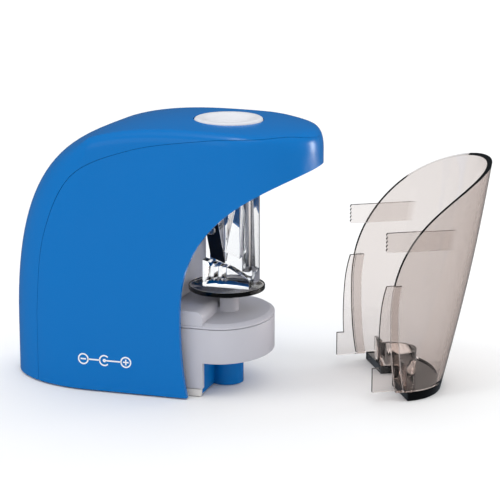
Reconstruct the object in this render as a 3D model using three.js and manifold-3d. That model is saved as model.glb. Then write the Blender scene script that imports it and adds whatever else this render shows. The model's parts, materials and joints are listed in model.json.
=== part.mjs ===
// A desk-top electric pencil sharpener with its clear shavings drawer pulled off.
// Millimetres. +X is the front, +Z is up, and the origin is on the cutter's axis at floor level.
import * as THREE from "three";
import { mergeVertices } from "three/addons/utils/BufferGeometryUtils.js";
import Module from "manifold-3d";

const wasm = await Module();
wasm.setup();

// ---------------------------------------------------------------- driving dimensions
const gap = 0.3; // left between pieces that touch
const runGap = 0.35; // radial clearance of turning pieces

const bodyWidth = 61;
const bodyHeight = 112;
const backX = -92;
const noseX = 40.2;
const backOvalX = -50; // the plan is flat-sided from here ...
const noseOvalX = 11; // ... to here, with a half oval at each end
const wall = 2.2;
const crownRadius = 400;
const edgeRadius = 4.5;
const spineStraight = 23; // the back rises straight to here, then sweeps forward
const spinePullUp = 73;
const spinePullBack = 53;
const topX = -9.5; // the highest point of the side outline
const noseSlope = 2.7; // how far the top falls towards the nose
const noseRound = 8.7;
const shellFoot = 0.5; // height of the shells' lower rim
const lipDrop = 15.8; // from the top down to the nose's lower rim
const mouthBackX = -10.7; // the mouth's rearmost edge
const mouthKneeZ = 36;
const mouthFootX = -7.4;
const seamInset = 16.5; // from the back to the side shells' rear seam
const seamDrop = 2.9; // from the top to the seam at its highest

const footThickness = 1.2;
const plateBottom = 1.5;
const plateThickness = 2.2;
const bossRadius = 7; // the front foot, on the cutter's axis
const screwRadius = 1.1;
const screwHeadRadius = 2.3;

const caseSideGap = 5.2; // from the body's side to the gear case's side
const caseReach = 19.5; // front of the gear case
const caseBackX = -54;
const caseBottom = 14.4;
const caseWall = 1.5;
const deckZ = 31;
const deckThickness = 2;
const deckBevel = 2;
const riserX = -2.5; // the deck steps up behind this
const riserHeight = 5;
const legDepth = 8.5;
const legThickness = 2.3;
const legPadHeight = 3.2;

const gearModule = 0.8;
const cutterTeeth = 38;
const idlerSmallTeeth = 14;
const idlerLargeTeeth = 40;
const pinionTeeth = 12;
const gearThickness = 5;
const shaftRadius = 2.5;
const axleRadius = 1.5;
const motorShaftRadius = 1;
const motorRadius = 12;
const motorHeight = 31;

const discRadius = 16;
const discThickness = 2;
const discClearance = 3; // the disc turns this far above the deck's collar
const collarRadius = 5.2;
const collarHeight = 6;
const pencilRadius = 4; // the guide's hole
const carrierRight = 12;
const carrierLeft = -8;
const carrierNear = -3.2;
const carrierFar = 8;
const coneHalfAngle = 10.5; // degrees, of the pencil's point
const coneTipRise = 10; // the pencil's point above the disc
const bladeRise = 12.2; // the blade's foot above the disc
const bladeWidth = 5.8;
const bladeLength = 29;
const bladeThickness = 0.7;
const bladeLean = 11; // degrees
const bladeSlant = 2.9; // how much lower the blade's leading corner is
const guideRadius = 14.2;
const guideX = 1;
const bridgeDrop = 14; // from the top down to the bridge under the guide

const jackFaceX = -86; // the power socket, above the cells
const jackZ = 60;
const socketRadius = 3.1;

const cellRadius = 5.25;
const cellHeight = 44.5;
const cellGap = 0.5; // between neighbouring cells
const cellCaseGap = 2.25; // between the front cells and the gear case
const holderWall = 1.1;
const stripOverlap = 3; // how far a contact strip reaches past the cells' axes

const drawerWall = 2;
const drawerTipZ = 97;
const drawerFootX = 19; // front of the drawer at the floor
const soleBackX = -3;
const soleThickness = 3.5;
const rimGap = 0.35;
const flangeSide = 2.7; // from the body's side to a flange's outer face
const flangeThickness = 1.4;
const flangeReach = 4.5;
const flangeTop = 48;
const tongueZ = 62;
const tongueHeight = 8;
const tongueTip = -12;
const tongueRoot = 18;
const tongueThickness = 1.3;
const tongueSide = 3.1;
const archClearance = 1.2; // round the front foot
const archThickness = 1.6;
const drawerPole = [-8, 135]; // the drawer swings clear about this upright line
const drawerTurn = 30; // degrees

// ---------------------------------------------------------------- derived places
const halfWidth = bodyWidth / 2;
const caseHalf = halfWidth - caseSideGap;
const plateTop = plateBottom + plateThickness;
const idlerX = (-gearModule * (cutterTeeth + idlerSmallTeeth)) / 2;
const motorX = idlerX - (gearModule * (idlerLargeTeeth + pinionTeeth)) / 2;
const lowGearZ = caseBottom + caseWall + 0.6;
const highGearZ = lowGearZ + gearThickness + 1;
const deckUnder = deckZ - deckThickness;
const riserZ = deckZ + riserHeight;
const collarTop = deckZ + collarHeight;
const discBottom = collarTop + discClearance;
const discTop = discBottom + discThickness;
const coneTipZ = discTop + coneTipRise;
const bridgeZ = bodyHeight - bridgeDrop;
const carrierTop = bridgeZ - 2.5;
const leverPin = [-9.5, bridgeZ + 7];
const switchBackX = leverPin[0] - 6.5;
const bulkheadX = Math.min(-discRadius, switchBackX) - 1.2; // behind the disc and the start switch
const frontCellX = caseBackX - cellCaseGap - cellRadius;
const cellRows = [frontCellX, frontCellX - 2 * cellRadius - cellGap];
const cellY = cellRadius + cellGap / 2;
const degree = Math.PI / 180;

// ---------------------------------------------------------------- making solids
function solid(geometry) {
  const bare = geometry.clone();
  bare.deleteAttribute("normal");
  bare.deleteAttribute("uv");
  const merged = mergeVertices(bare, 1e-4);
  const corners = merged.index.array;
  const kept = [];
  for (let i = 0; i < corners.length; i += 3) {
    const [a, b, c] = corners.subarray(i, i + 3);
    if (a !== b && b !== c && c !== a) kept.push(a, b, c);
  }
  const vertProperties = new Float32Array(merged.attributes.position.array);
  const make = (triVerts) =>
    new wasm.Manifold(new wasm.Mesh({ numProp: 3, vertProperties, triVerts: new Uint32Array(triVerts) }));
  const made = make(kept);
  return made.volume() < 0 ? make(kept.reverse()) : made;
}

const join = (...pieces) => pieces.reduce((all, piece) => all.add(piece));

const cut = (piece, ...tools) => tools.reduce((left, tool) => left.subtract(tool), piece);

function box([x0, x1], [y0, y1], [z0, z1]) {
  const block = new THREE.BoxGeometry(x1 - x0, y1 - y0, z1 - z0);
  return solid(block.translate((x0 + x1) / 2, (y0 + y1) / 2, (z0 + z1) / 2));
}

function rod(radius, [z0, z1], [x, y] = [0, 0], sides = 20, topRadius = radius) {
  const round = new THREE.CylinderGeometry(topRadius, radius, z1 - z0, sides);
  return solid(round.rotateX(Math.PI / 2).translate(x, y, (z0 + z1) / 2));
}

function crossRod(radius, [y0, y1], [x, z], sides = 16) {
  const round = new THREE.CylinderGeometry(radius, radius, y1 - y0, sides);
  return solid(round.translate(x, (y0 + y1) / 2, z));
}

const tube = (outer, inner, span, place, sides) =>
  rod(outer, span, place, sides).subtract(rod(inner, [span[0] - 1, span[1] + 1], place, sides));

// A solid turned about an upright line through place, from [radius, height] points.
function turned(profile, [x, y] = [0, 0], sides = 40) {
  const points = profile.map(([radius, z]) => new THREE.Vector2(radius, z));
  return solid(new THREE.LatheGeometry(points, sides).rotateX(Math.PI / 2).translate(x, y, 0));
}

const mirrored = (low, high, side) => (side < 0 ? [-high, -low] : [low, high]);

const outline = (points) => new THREE.Shape(points.map(([a, b]) => new THREE.Vector2(a, b)));

// A plan outline, in X and Y, raised between two heights.
function slab(shape, [z0, z1], curveSegments = 12) {
  const raised = new THREE.ExtrudeGeometry(shape, { depth: z1 - z0, bevelEnabled: false, curveSegments });
  return solid(raised.translate(0, 0, z0));
}

// A side outline, in X and Z, spread between two values of Y.
function sideSlab(shape, [y0, y1], curveSegments = 12) {
  const spread = new THREE.ExtrudeGeometry(shape, { depth: y1 - y0, bevelEnabled: false, curveSegments });
  return solid(spread.rotateX(Math.PI / 2).translate(0, y1, 0));
}

// Rings of equal count, skinned from first to last, with a fan across each end.
function loft(rings) {
  const count = rings[0].length;
  const points = rings.flat();
  const faces = [];
  for (let i = 0; i + 1 < rings.length; i++)
    for (let j = 0; j < count; j++) {
      const a = i * count + j;
      const b = i * count + ((j + 1) % count);
      faces.push(a, b, b + count, a, b + count, a + count);
    }
  const fan = (first, flip) => {
    const middle = new THREE.Vector3();
    for (let j = 0; j < count; j++) middle.add(points[first + j]);
    const hub = points.push(middle.divideScalar(count)) - 1;
    for (let j = 0; j < count; j++) {
      const a = first + j;
      const b = first + ((j + 1) % count);
      faces.push(...(flip ? [hub, b, a] : [hub, a, b]));
    }
  };
  fan(0, true);
  fan((rings.length - 1) * count, false);
  return solid(new THREE.BufferGeometry().setFromPoints(points).setIndex(faces));
}

// ---------------------------------------------------------------- colours
const material = (color, roughness, metalness = 0, opacity = 1) =>
  new THREE.MeshStandardMaterial({ color, roughness, metalness, opacity, transparent: opacity < 1 });
const blue = material(0x0073c5, 0.28);
const grey = material(0xc4c4cc, 0.45);
const white = material(0xe9ebee, 0.35);
const clear = material(0xd8dcdf, 0.08, 0, 0.35);
const smoke = material(0x8d8480, 0.08, 0, 0.4);
const darkSmoke = material(0x2c2a2b, 0.15, 0, 0.8);
const steel = material(0xb4b6ba, 0.25, 1);
const darkSteel = material(0x232326, 0.35, 0.8);
const brass = material(0xc79b4b, 0.3, 1);
const rubber = material(0x26272a, 0.85);
const nylon = material(0xf1efe6, 0.5);
const green = material(0x1d6b3f, 0.5);
const cellSkin = material(0x3c4148, 0.35, 0.3);

const sharpener = new THREE.Group();
const drawerPivot = new THREE.Group();
const drawer = new THREE.Group();
drawerPivot.position.set(drawerPole[0], drawerPole[1], 0);
drawerPivot.rotation.z = drawerTurn * degree;
drawer.position.set(-drawerPole[0], -drawerPole[1], 0);
drawerPivot.add(drawer);
sharpener.add(drawerPivot);

function place(name, finish, piece, group = sharpener) {
  const mesh = piece.getMesh();
  const geometry = new THREE.BufferGeometry();
  const points = new Float32Array(mesh.numVert * 3);
  for (let i = 0; i < mesh.numVert; i++)
    points.set(mesh.vertProperties.subarray(i * mesh.numProp, i * mesh.numProp + 3), i * 3);
  geometry.setAttribute("position", new THREE.BufferAttribute(points, 3));
  geometry.setIndex(new THREE.BufferAttribute(mesh.triVerts, 1));
  geometry.computeVertexNormals();
  const made = new THREE.Mesh(geometry, finish);
  made.name = name;
  group.add(made);
}

// ---------------------------------------------------------------- the body's outer form
function sideOutline(foot) {
  const noseTop = [noseX - 4.5, bodyHeight - noseSlope];
  const side = new THREE.Path();
  side.moveTo(backX, foot);
  side.lineTo(backX, spineStraight);
  side.bezierCurveTo(
    backX, spineStraight + spinePullUp, topX - spinePullBack, bodyHeight, topX, bodyHeight);
  side.bezierCurveTo(topX + 20, bodyHeight, noseTop[0] - 5, noseTop[1] + 1.5, ...noseTop);
  side.quadraticCurveTo(noseX, noseTop[1] - 1, noseX, noseTop[1] - noseRound);
  side.lineTo(noseX, foot);
  return side;
}

// The whole form, inset from the outer skin: each slice across Y is the side outline,
// drawn in by the plan's half ovals and lowered by the crown and the rounded top edge.
function bodyForm(inset, foot, slices = 14) {
  const points = sideOutline(foot).getPoints(9);
  const side = halfWidth - inset;
  const round = Math.max(edgeRadius - inset, 0.6);
  const steepest = 87 * degree;
  const backShare = (backOvalX - backX - inset) / (backOvalX - backX);
  const noseShare = (noseX - noseOvalX - inset) / (noseX - noseOvalX);
  const rings = [];
  for (let i = 0; i <= slices; i++) {
    const angle = ((2 * i) / slices - 1) * steepest;
    const y = (side * Math.sin(angle)) / Math.sin(steepest);
    const crown = crownRadius - Math.sqrt(crownRadius ** 2 - y ** 2);
    const past = Math.max(Math.abs(y) - side + round, 0);
    const edge = round - Math.sqrt(Math.max(round ** 2 - past ** 2, 0));
    const heightShare = (bodyHeight - inset - crown - edge) / bodyHeight;
    rings.push(
      points.map((p) => {
        let x = p.x;
        if (x < backOvalX) x = backOvalX + (x - backOvalX) * backShare * Math.cos(angle);
        if (x > noseOvalX) x = noseOvalX + (x - noseOvalX) * noseShare * Math.cos(angle);
        return new THREE.Vector3(x, y, p.y > foot ? p.y * heightShare : foot);
      }),
    );
  }
  return loft(rings);
}

// The open front under the overhang, seen from the side, moved by shift.
function mouthShape(shift = 0, drop = shift) {
  const lipZ = bodyHeight - lipDrop;
  const far = noseX + 40;
  const mouth = new THREE.Shape();
  mouth.moveTo(far, lipZ - drop);
  mouth.lineTo(noseX + 3.8 + shift, lipZ - drop);
  mouth.bezierCurveTo(
    noseX - 26.2 + shift, lipZ - 10.7 - drop,
    mouthBackX + shift, lipZ - 27.2 - drop,
    mouthBackX + shift, mouthKneeZ - drop);
  mouth.bezierCurveTo(
    mouthBackX + shift, mouthKneeZ - 16 - drop, mouthFootX - 2.2 + shift, 8, mouthFootX + shift, -0.5);
  mouth.lineTo(mouthFootX + shift, -20);
  mouth.lineTo(far, -20);
  return mouth;
}

// Everything in front of and below the seam of the side shells.
function seamShape(inset) {
  const seam = new THREE.Shape();
  const low = -20;
  seam.moveTo(noseX + 20, low);
  seam.lineTo(backX + seamInset + inset, low);
  seam.lineTo(backX + seamInset + inset, 30);
  seam.splineThru([
    new THREE.Vector2(backX + seamInset + 3.8 + inset, bodyHeight - 49.4 - inset),
    new THREE.Vector2(backX + seamInset + 17.6 + inset, bodyHeight - 22.4 - inset),
    new THREE.Vector2(backX + seamInset + 43.5, bodyHeight - 9.8 - inset),
    new THREE.Vector2(0, bodyHeight - seamDrop - 1.2 - inset),
    new THREE.Vector2(noseX - 18, bodyHeight - seamDrop - inset),
    new THREE.Vector2(noseX - 5.5, bodyHeight - seamDrop - 0.7 - inset),
    new THREE.Vector2(noseX + 3, bodyHeight - seamDrop - 5.5 - inset),
    new THREE.Vector2(noseX + 20, bodyHeight - seamDrop - 20 - inset),
  ]);
  return seam;
}

const acrossBody = [-halfWidth - 5, halfWidth + 5];
const guideSeat = rod(guideRadius + gap, [bridgeZ + 6, bodyHeight + 5], [guideX, 0]);
const jackHole = box([backX - 5, jackFaceX + 6], [-5 - gap, 5 + gap], [jackZ - 5 - gap, jackZ + 5 + gap]);
const hollow = bodyForm(wall, -5);
const shell = cut(
  bodyForm(0, shellFoot), hollow, sideSlab(mouthShape(), acrossBody, 9), guideSeat, jackHole);
const band = shell.subtract(sideSlab(seamShape(0), acrossBody, 5));
const sides = shell.intersect(sideSlab(seamShape(gap), acrossBody, 5));
place("top_band", blue, band);
place("left_shell", blue, sides.intersect(box([-200, 200], [gap / 2, 100], [-50, 200])));
place("right_shell", blue, sides.intersect(box([-200, 200], [-100, -gap / 2], [-50, 200])));

// ---------------------------------------------------------------- base plate, feet and battery door
const innerSide = halfWidth - wall - gap;
const plateFrontX = riserX - 1;
const floorPlan = bodyForm(wall + gap, -5).intersect(
  box([-200, plateFrontX - 8], [-100, 100], [plateBottom, plateTop]));
const wallSide = caseHalf - legThickness - gap;
const frontWall = box([plateFrontX - 10, plateFrontX], [-wallSide, wallSide], [plateBottom, plateTop])
  .add(box([plateFrontX - 2, plateFrontX], [-wallSide, wallSide], [shellFoot, caseBottom - gap]));
const frontFoot = join(
  rod(bossRadius, [0, caseBottom - gap], [0, 0], 40),
  box([plateFrontX - 1, 0], [-4, 4], [plateBottom, caseBottom - gap]));
const doorSpan = { x: [-82.5, -55], y: [-14.4, 14.4] };
const grow = ([low, high], by) => [low - by, high + by];
const feet = [[-79, -20.5], [-79, 20.5], [-18, -20.5], [-18, 20.5]].map(([x, y]) =>
  x < backOvalX ? [x + 12, y] : [x, y]);
const baseScrews = [[-32, -18], [-32, 18], [-10, -12], [-10, 12]];
const basePlate = cut(
  join(floorPlan, frontWall, frontFoot),
  box(grow(doorSpan.x, gap), grow(doorSpan.y, gap), [plateBottom - 1, plateTop + 1]),
  ...feet.map((at) => rod(1.6 + gap, [-1, plateTop + 1], at, 16)),
  ...baseScrews.map((at) => rod(screwRadius + gap, [-1, plateTop + 1], at, 16)),
  ...baseScrews.map((at) => rod(screwHeadRadius + gap, [-1, plateBottom + 1.2], at, 14)));
place("base_plate", blue, basePlate);

feet.forEach((at, i) => {
  const pad = rod(4.5, [0, footThickness], at, 16);
  const barb = rod(2.3, [plateTop + gap, plateTop + 1.5], at, 16);
  place(`foot_${i + 1}`, rubber, join(pad, rod(1.6, [0.5, plateTop + 1], at, 12), barb));
});
baseScrews.forEach((at, i) => {
  const head = rod(screwHeadRadius, [plateBottom - 0.2, plateBottom + 0.9], at, 14);
  const slot = box([at[0] - 1.6, at[0] + 1.6], [at[1] - 0.3, at[1] + 0.3], [0, plateBottom + 0.4]);
  place(`base_screw_${i + 1}`, steel, cut(head.add(rod(screwRadius, [plateBottom, 11], at, 14)), slot));
});

const doorGrips = [-66, -69.5, -73].map((x) => box([x, x + 1.4], [-8, 8], [0, plateBottom + 0.5]));
place("battery_door", blue,
  cut(box(doorSpan.x, doorSpan.y, [plateBottom, plateBottom + 1.6]), ...doorGrips));

// ---------------------------------------------------------------- cells, holder and contacts
const cellFoot = plateTop + 2;
const cellPlaces = cellRows.flatMap((x) => [[x, -cellY], [x, cellY]]);
const holderX = [cellRows[1] - cellRadius - holderWall, cellRows[0] + cellRadius + holderWall];
const holderSide = cellY + cellRadius + holderWall;
const stripY = grow([-cellY, cellY], stripOverlap);
const holder = cut(
  bodyForm(wall + gap, -5).intersect(box(holderX, [-holderSide, holderSide], [cellFoot + 3, cellFoot + 17])),
  ...cellPlaces.map((at) => rod(cellRadius + gap, [cellFoot, cellFoot + 20], at, 14)));
place("battery_holder", grey, holder);
cellPlaces.forEach((at, i) => {
  const cap = rod(1.9, [cellFoot + cellHeight - 2, cellFoot + cellHeight], at, 16);
  place(`cell_${i + 1}`, cellSkin, rod(cellRadius, [cellFoot, cellFoot + cellHeight - 1.5], at, 14).add(cap));
});
cellRows.forEach((x, i) => {
  const heights = [cellFoot + cellHeight + gap, cellFoot + cellHeight + 1];
  place(`cell_bridge_${i + 1}`, steel, box(grow([x, x], stripOverlap), stripY, heights));
});
place("cell_contact", steel,
  box([cellRows[1] - stripOverlap, cellRows[0] + stripOverlap], stripY, [cellFoot - 1, cellFoot - gap]));

// ---------------------------------------------------------------- gear case with its deck
function casePlan(inset, backX0 = caseBackX) {
  const half = caseHalf - inset;
  const plan = new THREE.Shape();
  plan.moveTo(backX0 + inset, -half);
  plan.lineTo(0, -half);
  plan.absellipse(0, 0, caseReach - inset, half, -Math.PI / 2, Math.PI / 2, false);
  plan.lineTo(backX0 + inset, half);
  return plan;
}

const wellBottom = caseBottom + caseWall;
const legs = [-1, 1].map((side) => {
  const y = mirrored(caseHalf - legThickness, caseHalf, side);
  return box([riserX - legDepth, riserX], y, [legPadHeight + gap, deckUnder - gap]);
});
const posts = baseScrews.map((at) => rod(3.4, [plateTop + gap, caseBottom + 0.5], at, 14));
const caseTub = cut(
  join(slab(casePlan(0), [caseBottom, deckUnder - gap], 28), ...posts, ...legs),
  slab(casePlan(caseWall), [wellBottom, deckZ]),
  rod(4.2 + gap, [caseBottom - 1, wellBottom + 1], [0, 0], 16),
  rod(axleRadius + gap, [caseBottom - 1, wellBottom + 1], [idlerX, 0], 16),
  ...baseScrews.map((at) => rod(screwRadius + gap, [0, 12], at, 16)));
place("gear_case", grey, caseTub);
[-1, 1].forEach((side, i) => {
  const y = mirrored(caseHalf - legThickness + 0.1, caseHalf - 0.2, side);
  place(`leg_pad_${i + 1}`, white, box([riserX - legDepth + 0.4, riserX - 0.7], y, [0, legPadHeight]));
});

// The deck's rim is bevelled: two plans, one above the other, with a sloping skin between.
function deckForm() {
  const wide = casePlan(0).getPoints(28);
  const narrow = casePlan(deckBevel).getPoints(28);
  const ring = (points, z) => points.map((p) => new THREE.Vector3(p.x, p.y, z));
  return loft([ring(wide, deckUnder), ring(wide, deckZ - deckBevel * 0.6), ring(narrow, deckZ)]);
}
const riser = box([caseBackX + deckBevel, riserX], [-caseHalf + 0.2, caseHalf - 0.2], [deckZ - 1, riserZ]);
const riserRound = 3;
const riserEdge = box([riserX - riserRound, riserX + 1], [-caseHalf - 1, caseHalf + 1],
  [riserZ - riserRound, riserZ + 1]).subtract(
  crossRod(riserRound, [-caseHalf - 2, caseHalf + 2], [riserX - riserRound, riserZ - riserRound], 28));
const deck = cut(
  join(deckForm(), riser, rod(collarRadius, [deckUnder, collarTop], [0, 0], 24)),
  riserEdge,
  rod(shaftRadius + runGap, [deckUnder - 1, collarTop + 1], [0, 0], 16),
  rod(axleRadius + gap, [deckUnder - 1, deckUnder + 1], [idlerX, 0], 16),
  rod(motorShaftRadius + 1.4, [deckUnder - 1, riserZ + 1], [motorX, 0], 16));
place("gear_case_cover", grey, deck);

// ---------------------------------------------------------------- gear train
function gearPlan(teeth, phase, bore) {
  const pitchRadius = (gearModule * teeth) / 2;
  const tip = pitchRadius + 0.85 * gearModule;
  const root = pitchRadius - 1.15 * gearModule;
  const pitch = (2 * Math.PI) / teeth;
  const points = [];
  for (let i = 0; i < teeth; i++)
    for (const [radius, share] of [[root, -0.27], [tip, -0.09], [tip, 0.09], [root, 0.27]]) {
      const angle = phase + (i + share) * pitch;
      points.push([radius * Math.cos(angle), radius * Math.sin(angle)]);
    }
  const plan = outline(points);
  plan.holes.push(new THREE.Path().absarc(0, 0, bore, 0, 2 * Math.PI, true));
  return plan;
}

const gear = (teeth, phase, bore, z) => slab(gearPlan(teeth, phase, bore), [z, z + gearThickness], 6);
const halfTooth = (teeth) => Math.PI / teeth;
const cutterGear = cut(
  gear(cutterTeeth, 0, shaftRadius + gap, lowGearZ),
  tube(12.5, 5.5, [lowGearZ + 3.5, lowGearZ + 6], [0, 0], 20));
place("cutter_gear", nylon, cutterGear);
const idler = join(
  gear(idlerSmallTeeth, halfTooth(idlerSmallTeeth), axleRadius + runGap, lowGearZ),
  tube(3.8, axleRadius + runGap, [lowGearZ + gearThickness - 1, highGearZ + 1], [0, 0], 16),
  gear(idlerLargeTeeth, 0, axleRadius + runGap, highGearZ));
place("idler_gear", nylon, idler.translate([idlerX, 0, 0]));
const pinion = gear(pinionTeeth, halfTooth(pinionTeeth), motorShaftRadius + gap, highGearZ);
place("motor_pinion", brass, pinion.translate([motorX, 0, 0]));
place("idler_axle", steel, rod(axleRadius, [caseBottom, deckUnder + 0.7], [idlerX, 0], 16));
place("lower_bush", brass, tube(4.2, shaftRadius + runGap, [caseBottom, wellBottom], [0, 0], 16));
place("thrust_washer", steel,
  tube(4.4, shaftRadius + runGap, [wellBottom + 0.15, lowGearZ - 0.15], [0, 0], 16));

// ---------------------------------------------------------------- motor
const motorFoot = riserZ + gap;
const motorAt = [motorX, 0];
place("motor_can", steel, join(
  rod(motorRadius, [motorFoot + 1.2, motorFoot + motorHeight - 4], motorAt, 24),
  rod(motorRadius - 1, [motorFoot + 0.8, motorFoot + 2], motorAt, 24))
  .subtract(rod(motorShaftRadius + 1.2, [motorFoot - 1, motorFoot + motorHeight], motorAt, 12)));
place("motor_end_cap", rubber, join(
  rod(motorRadius - 0.5, [motorFoot + motorHeight - 3.7, motorFoot + motorHeight - 1], motorAt, 24),
  tube(3.5, 2.4, [motorFoot + motorHeight - 1.5, motorFoot + motorHeight + 1], motorAt, 14))
  .subtract(rod(motorShaftRadius + 1.2, [motorFoot, motorFoot + motorHeight + 2], motorAt, 12)));
place("motor_shaft", steel,
  rod(motorShaftRadius, [highGearZ - 0.5, motorFoot + motorHeight + 0.5], motorAt, 14));
[-1, 1].forEach((side, i) => {
  const at = [motorX, side * 5.5];
  const lug = box([at[0] - 1.4, at[0] + 1.4], [at[1] - 0.3, at[1] + 0.3],
    [motorFoot + motorHeight - 1 + gap, motorFoot + motorHeight + 4]);
  place(`motor_terminal_${i + 1}`, brass, lug);
});

// ---------------------------------------------------------------- cutter head
place("cutter_shaft", steel, rod(shaftRadius, [caseBottom + 0.3, discBottom - gap], [0, 0], 16));
place("cutter_hub", darkSteel,
  tube(collarRadius - 1.4, shaftRadius + gap, [collarTop + 0.4, discBottom - gap], [0, 0], 20));
place("cutter_disc", clear, turned(
  [[0, discBottom], [discRadius - 0.4, discBottom], [discRadius, discBottom + 0.4],
    [discRadius, discTop - 0.4], [discRadius - 0.4, discTop], [0, discTop]], [0, 0], 30));

const screwAt = [-5.2, discTop + 23.5]; // of the blade's screw, in X and Z
const coneTopZ = coneTipZ + pencilRadius / Math.tan(coneHalfAngle * degree);
const pencilHole = join(
  rod(pencilRadius + 0.3, [coneTopZ - 0.1, carrierTop + 1], [0, 0], 16),
  rod(0.4, [coneTipZ, coneTopZ], [0, 0], 24, pencilRadius + 0.3));
const windows = [-6.6, -3.2, 0.2].map((x) =>
  box([x, x + 2.2], [carrierNear - 9, carrierNear + 3], [discTop + 3, discTop + 9]));
const plinth = outline([[carrierLeft, discTop + gap], [carrierRight, discTop + gap],
  [carrierRight, discTop + 4], [4, discTop + 8.5], [carrierLeft, discTop + 11.5]]);
const column = outline([[carrierLeft, discTop + gap], [carrierRight, discTop + gap],
  [carrierRight, carrierTop], [carrierLeft + 1.5, carrierTop], [carrierLeft, carrierTop - 18]]);
const fin = outline([[1.6, discTop + 15.5], [8, discTop + 13], [8, carrierTop - 4], [5, carrierTop - 4]]);
const carrier = cut(
  join(
    sideSlab(column, [carrierNear, carrierFar]),
    sideSlab(plinth, [carrierNear - 4.5, carrierNear + 1]),
    sideSlab(fin, [carrierNear - 4.5, carrierNear + 1])),
  pencilHole, ...windows,
  box([7.2, 10], [carrierNear + 2, carrierFar + 1], [discTop + 6, carrierTop - 6]),
  crossRod(screwRadius + gap, [carrierNear - 1, carrierNear + 5], screwAt));
place("cutter_carrier", clear, carrier);

const bladeY = [carrierNear - gap - bladeThickness, carrierNear - gap];
function leaning([x, z]) {
  const lean = bladeLean * degree;
  const across = x * Math.cos(lean) - z * Math.sin(lean);
  const up = x * Math.sin(lean) + z * Math.cos(lean);
  return [across - 2.6, up + discTop + bladeRise];
}
const bladePlan = outline([[-bladeWidth / 2, 0], [bladeWidth / 2, -bladeSlant], [bladeWidth / 2, bladeLength],
  [-bladeWidth / 2, bladeLength]].map(leaning));
place("blade", darkSteel, sideSlab(bladePlan, bladeY)
  .subtract(crossRod(screwRadius + gap, [-10, 0], screwAt)));
place("blade_screw", steel, join(
  crossRod(2, [bladeY[0] - gap - 1.2, bladeY[0] - gap], screwAt, 20),
  crossRod(screwRadius, [bladeY[0] - gap - 0.5, carrierNear + 4], screwAt, 14))
  .subtract(box([screwAt[0] - 2.5, screwAt[0] + 2.5], [-9, bladeY[0] - gap - 0.6],
    [screwAt[1] - 0.3, screwAt[1] + 0.3])));

// ---------------------------------------------------------------- bulkhead, bridge and pencil guide
const bulkheadSpan = [bulkheadX - 2, bulkheadX];
const plungerX = [bulkheadX - 10, tongueTip - 0.8];
const plungerY = -(halfWidth - tongueSide - 0.7);
const plungerZ = tongueZ + tongueHeight / 2;
const plungerHole = box([bulkheadX - 5, bulkheadX + 5], [plungerY - 1.5, plungerY + 1.5],
  [plungerZ - 1.5, plungerZ + 1.5]);
const bulkhead = bodyForm(wall + gap, -5).intersect(
  box(bulkheadSpan, [-innerSide, innerSide], [riserZ + gap, bodyHeight - 6]));
place("front_bulkhead", grey, bulkhead.subtract(plungerHole));
const bridge = cut(
  join(box([bulkheadX + gap, guideX + 11], [-11, 11], [bridgeZ - 1, bridgeZ + 1]),
    box([bulkheadX + gap, bulkheadX + 2], [-11, 11], [bridgeZ - 7, bridgeZ + 1])),
  rod(pencilRadius + 3.2 + gap, [bridgeZ - 3, bridgeZ + 3], [0, 0], 20));
place("guide_bridge", grey, bridge);
place("upper_bush", nylon, join(
  tube(pencilRadius + 3.2, pencilRadius + 0.6, [bridgeZ - 1.5, bridgeZ + 2], [0, 0], 20),
  tube(pencilRadius + 4.2, pencilRadius + 0.6, [bridgeZ + 1 + gap, bridgeZ + 2.5], [0, 0], 20)));
const sleeveTop = bodyHeight - 7;
place("guide_sleeve", white,
  tube(pencilRadius + 2, pencilRadius + 0.4, [bridgeZ + 2.5 + gap, sleeveTop], [0, 0], 20));

// The guide is a dished ring that stands a little proud of the crown.
const guideTop = bodyHeight + 0.4;
const guideSeatZ = bodyHeight - 4;
place("pencil_guide", white, turned([
  [pencilRadius, guideSeatZ - 2.5], [pencilRadius + 2.2, guideSeatZ - 2.5], [pencilRadius + 3, guideSeatZ],
  [guideRadius - 0.8, guideSeatZ], [guideRadius, guideSeatZ + 0.8], [guideRadius, guideTop - 0.9],
  [guideRadius - 0.9, guideTop], [guideRadius - 3.2, guideTop], [guideRadius - 5, guideTop - 1.6],
  [pencilRadius + 1.6, guideTop - 2.2], [pencilRadius, guideTop - 3.6], [pencilRadius, guideSeatZ - 2.5]],
  [guideX, 0], 30));

// ---------------------------------------------------------------- electrics
const jackSize = { depth: 11, half: 5 };
const socketDepth = 8;
const socket = new THREE.CylinderGeometry(socketRadius, socketRadius, socketDepth + 1, 20);
socket.rotateZ(Math.PI / 2).translate(jackFaceX + (socketDepth - 1) / 2, 0, jackZ);
place("dc_jack", rubber, cut(
  box([jackFaceX, jackFaceX + jackSize.depth], [-jackSize.half, jackSize.half],
    grow([jackZ, jackZ], jackSize.half)),
  solid(socket)));
const boardX = bulkheadSpan[0] - 3;
place("control_board", green, box([boardX - 1.6, boardX], [-14, 14], [riserZ + 8, riserZ + 46]));
place("motor_driver_chip", rubber,
  box([boardX - 1.6 - gap - 2, boardX - 1.6 - gap], [-4, 4], [riserZ + 34, riserZ + 40]));

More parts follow.
